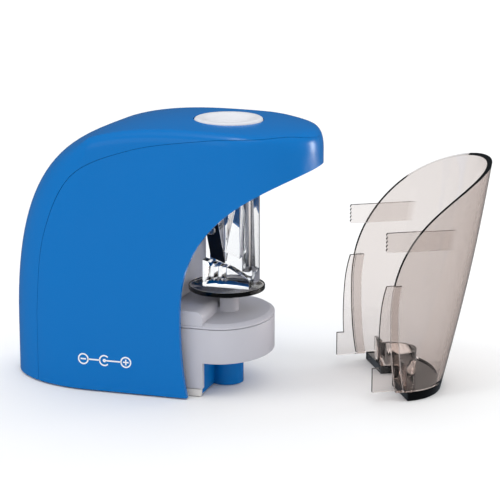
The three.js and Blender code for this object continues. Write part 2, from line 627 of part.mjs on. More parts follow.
// A sprung plunger feels the drawer's tongue, and a sprung lever feels the pencil.
place("drawer_switch_plunger", white,
  box(plungerX, [plungerY - 1, plungerY + 1], [plungerZ - 1, plungerZ + 1]));
place("drawer_switch", rubber,
  box([bulkheadX - 22, plungerX[0] - 3.2], [plungerY - 0.6, plungerY + 5.4], [plungerZ - 4, plungerZ + 4]));
place("pencil_lever", white, cut(join(
  crossRod(2, [-2, 2], leverPin, 18),
  box([leverPin[0] - 1, leverPin[0] + 1], [-2, 2], [bridgeZ + 3.4, leverPin[1]])),
  crossRod(0.8 + runGap, [-3, 3], leverPin, 14)));
place("lever_pin", steel, crossRod(0.8, [-6, 6], leverPin, 14));
place("start_switch", rubber, box([switchBackX, switchBackX + 3.1], [-3, 3],
  [bridgeZ + 1 + gap, bridgeZ + 7]));

// ---------------------------------------------------------------- shavings drawer, drawn in its seated place
// Each level is a half oval whose front leans out and whose start moves forward with height.
function drawerForm(inset, z0, z1) {
  const levels = 6;
  const rings = [];
  for (let i = 0; i <= levels; i++) {
    const z = z0 + ((z1 - z0) * i) / levels;
    const share = z / drawerTipZ;
    const startX = soleBackX + (noseOvalX - soleBackX) * share;
    const bulge = 1.6 * Math.sin(Math.PI * Math.min(Math.max(share, 0), 1));
    const frontX = drawerFootX + (noseX - drawerFootX) * share + bulge - inset;
    const ring = [new THREE.Vector3(-40, -halfWidth + inset, z)];
    for (let j = 0; j <= 14; j++) {
      const angle = (j / 14 - 0.5) * Math.PI;
      ring.push(new THREE.Vector3(
        startX + (frontX - startX) * Math.cos(angle), (halfWidth - inset) * Math.sin(angle), z));
    }
    ring.push(new THREE.Vector3(-40, halfWidth - inset, z));
    rings.push(ring);
  }
  return loft(rings);
}

const soleTop = soleThickness;
const wallFoot = soleTop + gap;
const drawerTop = drawerTipZ + 3;
const bowl = drawerForm(0, wallFoot, drawerTop)
  .subtract(drawerForm(drawerWall, wallFoot - 1, drawerTop + 1))
  .intersect(sideSlab(mouthShape(rimGap), acrossBody, 9));

const strip = (from, to, y) =>
  sideSlab(mouthShape(from, 0), y, 10).subtract(sideSlab(mouthShape(to, 0), grow(y, 1), 10));
function sideFittings(side) {
  const outer = halfWidth - flangeSide;
  const flangeY = mirrored(outer - flangeThickness, outer, side);
  const padY = mirrored(outer - 0.1, halfWidth - drawerWall + 0.1, side);
  const belt = box([-40, 40], [-50, 50], [wallFoot, flangeTop]);
  const flange = strip(-flangeReach, 4, flangeY).intersect(belt);
  const pad = strip(rimGap + 0.4, 4, padY).intersect(belt);
  const tab = box([mouthBackX - 6.5, mouthBackX + 1], flangeY, [wallFoot, wallFoot + 10]);
  const tongueOuter = halfWidth - tongueSide;
  const teeth = [];
  const notches = 5;
  for (let i = 0; i <= notches; i++) {
    const z = tongueZ + (tongueHeight * i) / notches;
    teeth.push([tongueTip + 0.5, z]);
    if (i < notches) teeth.push([tongueTip, z + tongueHeight / notches / 2]);
  }
  // The tongue runs straight forward until the curving wall takes it in.
  const tongue = sideSlab(
    outline([...teeth, [tongueRoot, tongueZ + tongueHeight], [tongueRoot, tongueZ]]),
    mirrored(tongueOuter - tongueThickness, tongueOuter, side));
  return join(flange, pad, tab, tongue);
}
place("drawer_shell", smoke, join(bowl, sideFittings(-1), sideFittings(1)), drawer);

const archRadius = bossRadius + archClearance;
const archTop = caseBottom - 0.8;
const archway = join(
  rod(archRadius, [-1, archTop + 1], [0, 0], 24),
  box([-30, 0], [-archRadius, archRadius], [-1, archTop + 1]));
const archBlock = join(
  rod(archRadius + archThickness, [soleTop - 0.5, archTop], [0, 0], 24),
  box([soleBackX, 0], [-archRadius - archThickness, archRadius + archThickness], [soleTop - 0.5, archTop]))
  .intersect(box([soleBackX, 40], [-50, 50], [0, 50]));
const clip = (side) => sideSlab(
  outline([[soleBackX + 0.8, soleTop - 0.5], [soleBackX + 2.2, soleTop - 0.5],
    [soleBackX + 2.2, 13], [soleBackX + 0.8, 13]]), mirrored(13.5, 21, side));
const sole = drawerForm(0, 0, soleTop).intersect(box([soleBackX, 60], [-50, 50], [-1, 30]));
place("drawer_base", darkSmoke, join(sole, archBlock, clip(-1), clip(1)).subtract(archway), drawer);

export default sharpener;
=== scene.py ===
# %% [markdown]
# An electric pencil sharpener, built around its working CAD frame
# The CAD model holds every size and every joint. This file gives the same object its finish: smooth
# moulded skins in place of faceted ones, rounded edges, clear plastic that bends light, steel, rubber
# and print. Overall sizes are read from the frame. The outlines are written out again here with the
# CAD model's design lengths, so a change to one of those lengths has to be made in both places. The
# colours, the lamps and the clear plastics' densities were chosen one by one.

import json
import math

import bmesh
import bpy
from mathutils import Matrix, Vector


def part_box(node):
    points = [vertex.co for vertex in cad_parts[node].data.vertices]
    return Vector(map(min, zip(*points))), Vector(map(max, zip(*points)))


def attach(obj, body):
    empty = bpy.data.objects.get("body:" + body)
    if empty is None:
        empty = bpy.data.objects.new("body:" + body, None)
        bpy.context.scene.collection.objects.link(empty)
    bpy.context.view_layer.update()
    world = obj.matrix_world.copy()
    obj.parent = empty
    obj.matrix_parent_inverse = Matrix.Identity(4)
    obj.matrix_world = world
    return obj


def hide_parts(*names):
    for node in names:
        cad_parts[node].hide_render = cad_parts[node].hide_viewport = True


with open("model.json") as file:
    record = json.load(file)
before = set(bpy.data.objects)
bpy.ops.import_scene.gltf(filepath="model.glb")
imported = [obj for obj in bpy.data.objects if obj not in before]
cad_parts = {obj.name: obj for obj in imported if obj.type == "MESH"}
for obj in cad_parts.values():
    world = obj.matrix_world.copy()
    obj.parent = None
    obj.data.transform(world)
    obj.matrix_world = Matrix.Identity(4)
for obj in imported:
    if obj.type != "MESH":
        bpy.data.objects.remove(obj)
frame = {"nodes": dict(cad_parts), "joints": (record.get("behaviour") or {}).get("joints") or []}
scene = bpy.context.scene
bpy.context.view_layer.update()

# %% [markdown]
# Lengths
# Blender works in metres and a moulding drawing works in millimetres. Each outline below is written in
# millimetres and scaled once, where its mesh is made.

# %% Lengths
MM = 0.001


def cad_mm(node):
    """The lowest and highest corner of a CAD node, in millimetres."""
    low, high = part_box(node)
    return [c / MM for c in low], [c / MM for c in high]


band_low = cad_mm("top_band")[0]
left_high = cad_mm("left_shell")[1]
guide_low, guide_high = cad_mm("pencil_guide")
disc_low, disc_high = cad_mm("cutter_disc")
BACK_X = band_low[0]
NOSE_X = left_high[0]
HALF_WIDTH = left_high[1]
GUIDE_PROUD = 0.4
HEIGHT = guide_high[2] - GUIDE_PROUD
WALL = 2.2
GAP = 0.3
print(f"body {NOSE_X - BACK_X:.1f} x {2 * HALF_WIDTH:.1f} x {HEIGHT:.1f} mm")

# %% [markdown]
# The camera
# A long lens from a little above the desk keeps the upright edges nearly parallel, which is how a small
# product is usually shot. The lens length follows from the distance, about 0.85 m.

# %% The camera
CAMERA_AT = (0.2570, -0.8102, 0.2680)
HEADING = 16.946
PITCH = 13.98
LENS = 152.06
SENSOR = 36.0

camera_data = bpy.data.cameras.new("product_camera")
camera_data.lens = LENS
camera_data.sensor_width = SENSOR
camera = bpy.data.objects.new("product_camera", camera_data)
camera.location = CAMERA_AT
camera.rotation_euler = (math.radians(90 - PITCH), 0, math.radians(HEADING))
scene.collection.objects.link(camera)
scene.camera = camera
print("camera:", camera.name, "lens", LENS, "mm")

# %% [markdown]
# Studio
# A white sweep with even light gives the flat, clean colour of a catalogue picture. What surrounds the
# sharpener is bright where the lens or a clear part looks at it, and dark where it is mirrored in a
# surface, so the blue plastic keeps its depth and only the lamps show as highlights.

# %% Seen and mirrored light
MIRRORED_TINT = (0.72, 0.8, 0.9, 1)


def split_mirrored(tree, seen, mirrored, output):
    """Shows seen to the lens and through clear parts, and mirrored in reflections."""
    rays = tree.nodes.new("ShaderNodeLightPath")
    share = tree.nodes.new("ShaderNodeMath")
    share.operation = "SUBTRACT"
    share.use_clamp = True
    tree.links.new(rays.outputs["Is Glossy Ray"], share.inputs[0])
    tree.links.new(rays.outputs["Is Transmission Ray"], share.inputs[1])
    mix = tree.nodes.new("ShaderNodeMixShader")
    tree.links.new(share.outputs["Value"], mix.inputs["Fac"])
    tree.links.new(seen, mix.inputs[1])
    tree.links.new(mirrored, mix.inputs[2])
    tree.links.new(mix.outputs["Shader"], output)


# %% World and view
scene.view_settings.view_transform = "Standard"
world = bpy.data.worlds.new("studio")
scene.world = world
world.use_nodes = True
sky = world.node_tree
sky.nodes.clear()
sky_out = sky.nodes.new("ShaderNodeOutputWorld")
sky_seen = sky.nodes.new("ShaderNodeBackground")
sky_seen.inputs["Color"].default_value = (1.0, 1.0, 1.0, 1.0)
sky_seen.inputs["Strength"].default_value = 1.0
sky_mirrored = sky.nodes.new("ShaderNodeBackground")
sky_mirrored.inputs["Color"].default_value = MIRRORED_TINT
sky_mirrored.inputs["Strength"].default_value = 0.10
split_mirrored(sky, sky_seen.outputs[0], sky_mirrored.outputs[0], sky_out.inputs["Surface"])
print("world:", world.name)


# %% Soft boxes
def soft_box(name, at, aim, size, power):
    """A rectangular lamp that faces a point, in metres and watts."""
    lamp = bpy.data.lights.new(name, "AREA")
    lamp.shape = "RECTANGLE"
    lamp.size, lamp.size_y = size
    lamp.energy = power
    obj = bpy.data.objects.new(name, lamp)
    obj.location = at
    towards = Vector(aim) - Vector(at)
    obj.rotation_euler = towards.to_track_quat("-Z", "Y").to_euler()
    scene.collection.objects.link(obj)
    return obj


soft_box("overhead", (-0.1, -0.15, 0.9), (0, 0, 0), (0.8, 0.6), 0.4)
soft_box("front_fill", (-0.55, -0.9, 0.45), (0, 0, 0.06), (0.7, 0.7), 0.8)
soft_box("nose_strip", (0.47, 0.40, 0.11), (0.04, -0.02, 0.09), (0.10, 0.2), 0.8)
soft_box("edge_sparkle", (-0.04, -0.14, 0.68), (0.02, -0.03, 0.11), (0.12, 0.16), 0.5)
backdrop = soft_box("backdrop", (-0.4, 1.9, 1.0), (-0.4, 1.9, 0), (3.0, 2.0), 14.0)
backdrop.visible_glossy = False
print("lamps:", [lamp.name for lamp in bpy.data.lights])

# %% [markdown]
# Floor
# The desk is matt white. It fades to a soft grey where the sharpener keeps the light off it.

# %% Floor
FLOOR_HALF = 4.0
FLOOR_DROP = 0.0002
floor_data = bpy.data.meshes.new("studio_floor")
floor_corners = [(x * FLOOR_HALF, y * FLOOR_HALF, 0) for x, y in ((-1, -1), (1, -1), (1, 1), (-1, 1))]
floor_data.from_pydata(floor_corners, [], [(0, 1, 2, 3)])
floor = bpy.data.objects.new("studio_floor", floor_data)
floor.location.z = -FLOOR_DROP
scene.collection.objects.link(floor)
floor_paint = bpy.data.materials.new("matt_white_desk")
floor_paint.use_nodes = True
desk_tree = floor_paint.node_tree
desk = desk_tree.nodes["Principled BSDF"]
desk.inputs["Base Color"].default_value = (0.90, 0.905, 0.91, 1)
desk.inputs["Roughness"].default_value = 0.35
desk.inputs["IOR"].default_value = 1.05
desk_mirrored = desk_tree.nodes.new("ShaderNodeEmission")
desk_mirrored.inputs["Color"].default_value = MIRRORED_TINT
desk_mirrored.inputs["Strength"].default_value = 0.15
split_mirrored(desk_tree, desk.outputs[0], desk_mirrored.outputs[0],
               desk_tree.nodes["Material Output"].inputs["Surface"])
floor_data.materials.append(floor_paint)

# %% [markdown]
# Shared finishes
# Three surface effects turn up in nearly every material: the fine texture and soft blotches of a
# moulding, drawn lines in metal, and dust that settles on what faces up. Each is one node group with
# named sockets, and each material sets its own amounts.


# %% Node group helper
def node_group(name, inputs, outputs):
    """A shader node group with float or colour sockets, and its input and output nodes."""
    group = bpy.data.node_groups.new(name, "ShaderNodeTree")
    kinds = {"float": "NodeSocketFloat", "color": "NodeSocketColor"}
    for label, kind, value in inputs:
        socket = group.interface.new_socket(label, in_out="INPUT", socket_type=kinds[kind])
        socket.default_value = value
    for label, kind in outputs:
        group.interface.new_socket(label, in_out="OUTPUT", socket_type=kinds[kind])
    return group, group.nodes.new("NodeGroupInput"), group.nodes.new("NodeGroupOutput")


def math_node(tree, operation, a, b=None, clamp=False):
    """A maths node fed by sockets or by plain numbers. Returns its output."""
    node = tree.nodes.new("ShaderNodeMath")
    node.operation = operation
    node.use_clamp = clamp
    for slot, value in zip(node.inputs, (a, b)):
        if value is None:
            continue
        if isinstance(value, (int, float)):
            slot.default_value = value
        else:
            tree.links.new(value, slot)
    return node.outputs[0]


def noise_node(tree, scale, detail=2.0, stretch=None):
    """Noise in object space. stretch squeezes it along an axis, which draws it into lines."""
    where = tree.nodes.new("ShaderNodeTexCoord").outputs["Object"]
    if stretch:
        mapping = tree.nodes.new("ShaderNodeMapping")
        mapping.inputs["Scale"].default_value = stretch
        tree.links.new(where, mapping.inputs["Vector"])
        where = mapping.outputs["Vector"]
    noise = tree.nodes.new("ShaderNodeTexNoise")
    noise.inputs["Detail"].default_value = detail
    tree.links.new(where, noise.inputs["Vector"])
    if isinstance(scale, (int, float)):
        noise.inputs["Scale"].default_value = scale
    else:
        tree.links.new(scale, noise.inputs["Scale"])
    return noise.outputs["Fac"]


# %% The moulded grain group
grain, grain_in, grain_out = node_group(
    "moulded_grain",
    [("Grain Scale", "float", 2500.0), ("Blotch Scale", "float", 45.0), ("Roughness", "float", 0.3),
     ("Blotch", "float", 0.06)],
    [("Roughness", "float"), ("Height", "float")])
fine = noise_node(grain, grain_in.outputs["Grain Scale"], 2.0)
blotch = noise_node(grain, grain_in.outputs["Blotch Scale"], 4.0)
blotch_signed = math_node(grain, "SUBTRACT", blotch, 0.5)
blotch_share = math_node(grain, "MULTIPLY", blotch_signed, grain_in.outputs["Blotch"])
rough_sum = math_node(grain, "ADD", grain_in.outputs["Roughness"], blotch_share, clamp=True)
grain.links.new(rough_sum, grain_out.inputs["Roughness"])
grain.links.new(fine, grain_out.inputs["Height"])

# %% The drawn metal group
drawn, drawn_in, drawn_out = node_group(
    "drawn_lines",
    [("Line Scale", "float", 900.0), ("Roughness", "float", 0.3), ("Spread", "float", 0.15)],
    [("Roughness", "float"), ("Height", "float"), ("Mask", "float")])
lines = noise_node(drawn, drawn_in.outputs["Line Scale"], 3.0, stretch=(1.0, 1.0, 0.04))
lines_signed = math_node(drawn, "SUBTRACT", lines, 0.5)
lines_share = math_node(drawn, "MULTIPLY", lines_signed, drawn_in.outputs["Spread"])
drawn.links.new(
    math_node(drawn, "ADD", drawn_in.outputs["Roughness"], lines_share, clamp=True),
    drawn_out.inputs["Roughness"])
drawn.links.new(lines, drawn_out.inputs["Height"])
drawn.links.new(lines, drawn_out.inputs["Mask"])

# %% The settled dust group
dust, dust_in, dust_out = node_group(
    "settled_dust",
    [("Color", "color", (0.5, 0.5, 0.5, 1)), ("Dust", "color", (0.6, 0.56, 0.5, 1)),
     ("Amount", "float", 0.1), ("Scale", "float", 260.0)],
    [("Color", "color"), ("Mask", "float")])
facing = dust.nodes.new("ShaderNodeNewGeometry")
split = dust.nodes.new("ShaderNodeSeparateXYZ")
dust.links.new(facing.outputs["Normal"], split.inputs["Vector"])
upward = math_node(dust, "MAXIMUM", split.outputs["Z"], 0.0)
specks = noise_node(dust, dust_in.outputs["Scale"], 6.0)
patches = math_node(dust, "MULTIPLY", upward, specks)
dust_mask = math_node(dust, "MULTIPLY", patches, dust_in.outputs["Amount"], clamp=True)
blend = dust.nodes.new("ShaderNodeMix")
blend.data_type = "RGBA"
dust.links.new(dust_mask, blend.inputs["Factor"])
dust.links.new(dust_in.outputs["Color"], blend.inputs["A"])
dust.links.new(dust_in.outputs["Dust"], blend.inputs["B"])
dust.links.new(blend.outputs["Result"], dust_out.inputs["Color"])
dust.links.new(dust_mask, dust_out.inputs["Mask"])
print("node groups:", [g.name for g in bpy.data.node_groups])

# %% [markdown]
# Plastics
# The blue skin is a glossy moulding with the faintest orange peel. The grey housing came from a
# spark-finished tool, so it is satin and finely pitted. One function makes both, since only the
# colour, the gloss and the grain differ.


# %% Plastic materials
BLOTCH_SCALE = 38.0


def new_material(name):
    """A new node material, its tree and its main shader."""
    paint = bpy.data.materials.new(name)
    paint.use_nodes = True
    return paint, paint.node_tree, paint.node_tree.nodes["Principled BSDF"]


def add_group(tree, group, **values):
    """Places a node group and sets its inputs, written with _ for each space."""
    node = tree.nodes.new("ShaderNodeGroup")
    node.node_tree = group
    for label, value in values.items():
        node.inputs[label.replace("_", " ")].default_value = value
    return node


def bump(tree, surface, height, distance, strength=0.4):
    """Feeds a height, in metres at its full value, to a surface as relief."""
    node = tree.nodes.new("ShaderNodeBump")
    node.inputs["Distance"].default_value = distance
    node.inputs["Strength"].default_value = strength
    tree.links.new(height, node.inputs["Height"])
    tree.links.new(node.outputs["Normal"], surface.inputs["Normal"])


def plastic(name, color, roughness, grain_scale, depth, blotches=0.06, dusty=0.04, ior=1.4):
    """Moulded plastic: colour, gloss, grain size as 1/m and grain depth in metres."""
    paint, tree, surface = new_material(name)
    texture = add_group(
        tree, grain, Grain_Scale=grain_scale, Blotch_Scale=BLOTCH_SCALE, Roughness=roughness, Blotch=blotches)
    settled = add_group(tree, dust, Color=(*color, 1), Amount=dusty)
    tree.links.new(settled.outputs["Color"], surface.inputs["Base Color"])
    tree.links.new(texture.outputs["Roughness"], surface.inputs["Roughness"])
    bump(tree, surface, texture.outputs["Height"], depth)
    surface.inputs["IOR"].default_value = ior
    return paint


blue_gloss = plastic("blue_gloss", (0.0, 0.158, 0.50), 0.24, 420.0, 0.00002, 0.05, 0.0, 1.38)
grey_satin = plastic("grey_satin", (0.53, 0.53, 0.585), 0.42, 5200.0, 0.00005, 0.08, 0.10)
guide_white = plastic("guide_white", (0.72, 0.73, 0.77), 0.33, 3000.0, 0.00003, 0.06, 0.05)
pad_white = plastic("pad_white", (0.70, 0.68, 0.66), 0.45, 3000.0, 0.00003, 0.06, 0.05)
nylon = plastic("natural_nylon", (0.80, 0.78, 0.70), 0.5, 1800.0, 0.00003)
black_plastic = plastic("black_plastic", (0.018, 0.018, 0.02), 0.4, 3600.0, 0.00004, 0.08, 0.12)
cell_sleeve = plastic("cell_sleeve", (0.03, 0.035, 0.05), 0.3, 700.0, 0.00002)
solder_mask = plastic("solder_mask", (0.015, 0.13, 0.045), 0.35, 900.0, 0.00003)
rubber = plastic("soft_rubber", (0.02, 0.02, 0.022), 0.8, 2400.0, 0.0001, 0.15, 0.2)
print_white = plastic("screen_print", (0.88, 0.89, 0.9), 0.5, 6000.0, 0.00001)
print("plastics and blue skin made:", len(bpy.data.materials), "materials")

# %% [markdown]
# Metals
# The blade is hardened and blackened, the screws and the motor can are bright, and the pinion and the
# bush are brass. All show drawn lines, because they are cut or drawn parts.


# %% Metal materials
LINE_DEPTH = 0.00002
LINE_SHADE = 0.8


def metal(name, color, roughness, spread, line_scale=900.0):
    """Drawn metal: its lines are a little darker and rougher than the rest."""
    paint, tree, surface = new_material(name)
    finish = add_group(tree, drawn, Line_Scale=line_scale, Roughness=roughness, Spread=spread)
    tone = tree.nodes.new("ShaderNodeMix")
    tone.data_type = "RGBA"
    tree.links.new(finish.outputs["Mask"], tone.inputs["Factor"])
    tone.inputs["A"].default_value = (*[c * LINE_SHADE for c in color], 1)
    tone.inputs["B"].default_value = (*color, 1)
    tree.links.new(tone.outputs["Result"], surface.inputs["Base Color"])
    tree.links.new(finish.outputs["Roughness"], surface.inputs["Roughness"])
    surface.inputs["Metallic"].default_value = 1.0
    bump(tree, surface, finish.outputs["Height"], LINE_DEPTH, 0.25)
    return paint


bright_steel = metal("bright_steel", (0.62, 0.62, 0.64), 0.24, 0.2)
black_steel = metal("black_steel", (0.055, 0.055, 0.06), 0.34, 0.25, 1600.0)
brass = metal("turned_brass", (0.78, 0.56, 0.26), 0.26, 0.2)

# %% [markdown]
# Clear plastics
# A clear moulding is a solid that bends and absorbs light, so each is a closed wall with a real
# thickness. Absorption does the tinting: a 2 mm wall stays pale, and a rim seen edge-on goes dark.
# Shadow rays are let straight through, tinted, so that the drawer throws a soft grey shadow instead of
# the black one that a path tracer gives a lens.


# %% Clear materials
CLEAR_ROUGHNESS = 0.02
CLEAR_IOR = 1.49


def clear_plastic(name, tint, density, shade):
    """tint and density (1/m) colour the depth; shade is what its shadow lets through."""
    paint, tree, surface = new_material(name)
    surface.inputs["Base Color"].default_value = (1, 1, 1, 1)
    surface.inputs["Roughness"].default_value = CLEAR_ROUGHNESS
    surface.inputs["IOR"].default_value = CLEAR_IOR
    surface.inputs["Transmission Weight"].default_value = 1.0
    output = tree.nodes["Material Output"]
    absorb = tree.nodes.new("ShaderNodeVolumeAbsorption")
    absorb.inputs["Color"].default_value = (*tint, 1)
    absorb.inputs["Density"].default_value = density
    tree.links.new(absorb.outputs["Volume"], output.inputs["Volume"])
    rays = tree.nodes.new("ShaderNodeLightPath")
    veil = tree.nodes.new("ShaderNodeBsdfTransparent")
    veil.inputs["Color"].default_value = (*shade, 1)
    mix = tree.nodes.new("ShaderNodeMixShader")
    tree.links.new(rays.outputs["Is Shadow Ray"], mix.inputs["Fac"])
    tree.links.new(surface.outputs["BSDF"], mix.inputs[1])
    tree.links.new(veil.outputs["BSDF"], mix.inputs[2])
    tree.links.new(mix.outputs["Shader"], output.inputs["Surface"])
    return paint


smoky_clear = clear_plastic("smoky_clear", (0.50, 0.38, 0.32), 260.0, (0.82, 0.80, 0.80))
# The sole's dark tint and dense absorption are painted shade: they stand in for the shadow under the drawer
# and for clear plastic going dark when seen on end.
sole_shade_clear = clear_plastic("sole_shade_clear", (0.16, 0.13, 0.14), 900.0, (0.5, 0.49, 0.49))
cutter_clear = clear_plastic("cutter_clear", (0.80, 0.84, 0.88), 22.0, (0.95, 0.95, 0.96))
disc_clear = clear_plastic("disc_clear", (0.42, 0.40, 0.36), 560.0, (0.7, 0.72, 0.74))

# %% [markdown]
# Making solids
# Every shape below is a stack of rings skinned into a closed skin, or a flat outline given a
# thickness, and then cut with Boolean tools, the way a mould is machined. A Bevel modifier rounds the
# edges, because no moulded edge is truly sharp and the round is what catches the light.


# %% Mesh helpers
def mesh_piece(name, points, faces):
    """A closed mesh from points in millimetres, with its normals facing out."""
    data = bpy.data.meshes.new(name)
    data.from_pydata([tuple(c * MM for c in p) for p in points], [], faces)
    work = bmesh.new()
    work.from_mesh(data)
    bmesh.ops.recalc_face_normals(work, faces=work.faces)
    work.to_mesh(data)
    work.free()
    piece = bpy.data.objects.new(name, data)
    scene.collection.objects.link(piece)
    return piece


def loft(name, rings, caps=True):
    """Rings of equal count, joined in order. With caps=False the last ring joins the first."""
    count = len(rings[0])
    points = [p for ring in rings for p in ring]
    faces = []
    pairs = range(len(rings) - 1) if caps else range(len(rings))
    for i in pairs:
        base, above = i * count, ((i + 1) % len(rings)) * count
        for j in range(count):
            k = (j + 1) % count
            faces.append((base + j, base + k, above + k, above + j))
    if caps:
        faces.append(tuple(range(count)))
        faces.append(tuple(range(len(points) - count, len(points))))
    return mesh_piece(name, points, faces)


def extruded(name, outline, low, high, axis):
    """A flat outline made thick along an axis: X, Y or Z."""
    def place(p, depth):
        return {"X": (depth, *p), "Y": (p[0], depth, p[1]), "Z": (*p, depth)}[axis]
    rings = [[place(p, depth) for p in outline] for depth in (low, high)]
    return loft(name, rings)


def turned(name, profile, at=(0, 0), sides=96):
    """A ring turned about an upright line, from a closed profile of (radius, height)."""
    rings = []
    for i in range(sides):
        angle = 2 * math.pi * i / sides
        rings.append([(at[0] + r * math.cos(angle), at[1] + r * math.sin(angle), z) for r, z in profile])
    return loft(name, rings, caps=False)


def circle(radius, at=(0, 0), sides=48):
    steps = [2 * math.pi * i / sides for i in range(sides)]
    return [(at[0] + radius * math.cos(a), at[1] + radius * math.sin(a)) for a in steps]


def box_piece(name, x, y, z):
    outline = [(x[0], y[0]), (x[1], y[0]), (x[1], y[1]), (x[0], y[1])]
    return extruded(name, outline, z[0], z[1], "Z")


def bake_modifiers(piece):
    """Replaces the piece's mesh with its modified one."""
    bpy.context.view_layer.update()
    seen = piece.evaluated_get(bpy.context.evaluated_depsgraph_get())
    data = bpy.data.meshes.new_from_object(seen)
    piece.modifiers.clear()
    piece.data = data
    return piece


def carve(piece, *tools, how="DIFFERENCE", keep=False):
    """Cuts, keeps or joins with each tool in turn, and throws the tools away."""
    for tool in tools:
        step = piece.modifiers.new("carve", "BOOLEAN")
        step.operation = how
        step.solver = "EXACT"
        step.object = tool
        bake_modifiers(piece)
        if not keep:
            bpy.data.objects.remove(tool)
    return piece


def copy_of(piece, name):
    twin = piece.copy()
    twin.data = piece.data.copy()
    twin.name = name
    scene.collection.objects.link(twin)
    return twin


def round_edges(piece, width, segments=2, angle=32):
    """A moulded round on every edge sharper than angle, its width in millimetres."""
    step = piece.modifiers.new("round", "BEVEL")
    step.width = width * MM
    step.segments = segments
    step.limit_method = "ANGLE"
    step.angle_limit = math.radians(angle)
    step.use_clamp_overlap = True
    return bake_modifiers(piece)


def smooth(piece, angle=34):
    """Smooth shading that breaks at real corners."""
    piece.data.shade_smooth()
    piece.data.set_sharp_from_angle(angle=math.radians(angle))
    return piece


def finish_piece(piece, body, material, replaced=()):
    """Gives a piece its material and the body it rides on, and hides the CAD nodes it replaces."""
    piece.data.materials.clear()
    piece.data.materials.append(material)
    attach(piece, body)
    if replaced:
        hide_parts(*replaced)
    print(f"{piece.name}: {len(piece.data.polygons)} faces")
    return piece


def bezier(p0, p1, p2, p3, steps):
    """Points on a cubic curve, without its last one."""
    made = []
    for i in range(steps):
        t = i / steps
        u = 1 - t
        made.append(tuple(
            u**3 * a + 3 * u * u * t * b + 3 * u * t * t * c + t**3 * d
            for a, b, c, d in zip(p0, p1, p2, p3)))
    return made


def quadratic(p0, p1, p2, steps):
    third = 2 / 3
    low = tuple(a + third * (b - a) for a, b in zip(p0, p1))
    high = tuple(c + third * (b - c) for b, c in zip(p1, p2))
    return bezier(p0, low, high, p2, steps)


def smooth_line(turns, steps):
    """A smooth curve through every point of turns (Catmull-Rom), its last point included."""
    ends = [turns[0], *turns, turns[-1]]
    made = []
    for before, start, end, after in zip(ends, ends[1:], ends[2:], ends[3:]):
        for i in range(steps):
            t = i / steps
            made.append(tuple(
                0.5 * (2 * b + (c - a) * t + (2 * a - 5 * b + 4 * c - d) * t * t
                       + (3 * b - a - 3 * c + d) * t**3)
                for a, b, c, d in zip(before, start, end, after)))
    return made + [turns[-1]]


# %% [markdown]
# The body's form
# Seen from the side the body is one sweep: upright at the back, then a long curve over the top to a
# blunt nose. Seen from above it is a flat-sided oval. Slices across the width carry the side outline,
# each drawn in by the oval and lowered by the crown of the top.

# %% The body's form
BACK_OVAL_X = -50.0
NOSE_OVAL_X = 11.0
CROWN_RADIUS = 400.0
EDGE_RADIUS = 4.5
SPINE_STRAIGHT = 23.0
SPINE_PULL_UP = 73.0
SPINE_PULL_BACK = 53.0
TOP_X = -9.5
NOSE_SLOPE = 2.7
NOSE_ROUND = 8.7
SHELL_FOOT = 0.5
STEEPEST = math.radians(87)


def side_outline(foot):
    """(x, z) once round the side view, from the lower back corner."""
    nose_top = (NOSE_X - 4.5, HEIGHT - NOSE_SLOPE)
    shoulder = (BACK_X, SPINE_STRAIGHT)
    crest = (TOP_X, HEIGHT)
    brow = (NOSE_X, nose_top[1] - NOSE_ROUND)
    points = [(BACK_X, foot + (SPINE_STRAIGHT - foot) * i / 6) for i in range(6)]
    points += bezier(shoulder, (BACK_X, SPINE_STRAIGHT + SPINE_PULL_UP),
                     (TOP_X - SPINE_PULL_BACK, HEIGHT), crest, 34)
    points += bezier(crest, (TOP_X + 20.0, HEIGHT), (nose_top[0] - 5.0, nose_top[1] + 1.5), nose_top, 16)
    points += quadratic(nose_top, (NOSE_X, nose_top[1] - 1.0), brow, 8)
    points += [(NOSE_X, brow[1] + (foot - brow[1]) * i / 10) for i in range(11)]
    return points


def body_form(name, inset, foot, slices=44):
    """The whole form, inset from the outer skin, with its floor at the height foot."""
    points = side_outline(foot)
    side = HALF_WIDTH - inset
    edge_round = max(EDGE_RADIUS - inset, 0.6)
    back_reach = BACK_X - BACK_OVAL_X
    nose_reach = NOSE_X - NOSE_OVAL_X
    rings = []
    for i in range(slices + 1):
        angle = (2 * i / slices - 1) * STEEPEST
        y = side * math.sin(angle) / math.sin(STEEPEST)
        crown = CROWN_RADIUS - math.sqrt(CROWN_RADIUS**2 - y * y)
        past = max(abs(y) - side + edge_round, 0)
        edge = edge_round - math.sqrt(max(edge_round**2 - past**2, 0))
        share = (HEIGHT - inset - crown - edge) / HEIGHT
        ring = []
        for x, z in points:
            for start, reach in ((BACK_OVAL_X, back_reach), (NOSE_OVAL_X, nose_reach)):
                if (x - start) * reach > 0:
                    share_of_reach = (abs(reach) - inset) / abs(reach)
                    x = start + (x - start) * share_of_reach * math.cos(angle)
                    break
            ring.append((x, y, z * share if z > foot else foot))
        rings.append(ring)
    return loft(name, rings)


# %% [markdown]
# The mouth and the seam
# Two lines cross the body's side. The mouth is the sweeping edge under the overhang, which the drawer
# meets. The seam is where the side shells meet the band that runs up the back and over the top.

# %% The mouth and the seam
LIP_Z = HEIGHT - 15.8
MOUTH_BACK_X = -10.7
MOUTH_KNEE_Z = 36.0
MOUTH_FOOT_X = -7.4
SEAM_X = BACK_X + 16.5
SEAM_TOP_Z = HEIGHT - 2.9


